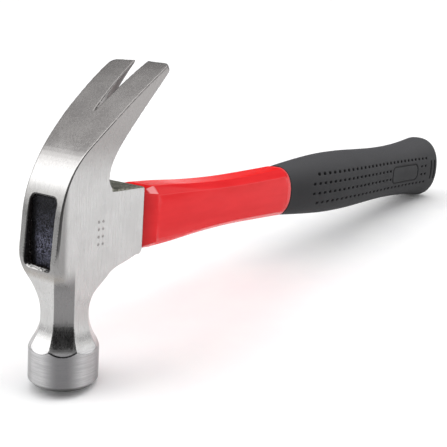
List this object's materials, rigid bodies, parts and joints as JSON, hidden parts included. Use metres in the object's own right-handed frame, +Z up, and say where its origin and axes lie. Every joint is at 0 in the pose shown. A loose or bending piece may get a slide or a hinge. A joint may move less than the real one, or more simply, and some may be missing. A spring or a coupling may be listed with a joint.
{
  "type": "claw hammer",
  "caption": "Curved-claw hammer with a forged steel head, an octagonal neck, a red jacketed fibreglass handle and a flared black rubber grip.",
  "frame": {"origin": "bottom centre of the whole hammer's box, in the pose in which it rests on the rim of its face and on its butt", "axes": "+X from the head towards the butt, +Z up towards the claws, the tool being symmetric about the XZ plane"},
  "size_m": [0.3538, 0.0322, 0.1232],
  "materials": {
    "forged_steel": "drop-forged, ground and satin polished, left rougher on top of the socket",
    "fibreglass": "pultruded glass fibre and resin, hidden inside the jacket",
    "red_jacket": "glossy moulded skin with crisp bevels",
    "dam_foam": "soft closed-cell ring, hidden in the eye",
    "black_resin": "poured black epoxy, glossy and lumpy where it shows in the eye",
    "grip_rubber": "matte moulded rubber with rows of small square dimples"
  },
  "bodies": {
    "root": {"hammer_head": "forged_steel", "fibreglass_core": "fibreglass", "handle_jacket": "red_jacket", "eye_dam": "dam_foam", "resin_fill": "black_resin", "grip": "grip_rubber"}
  },
  "joints": []
}
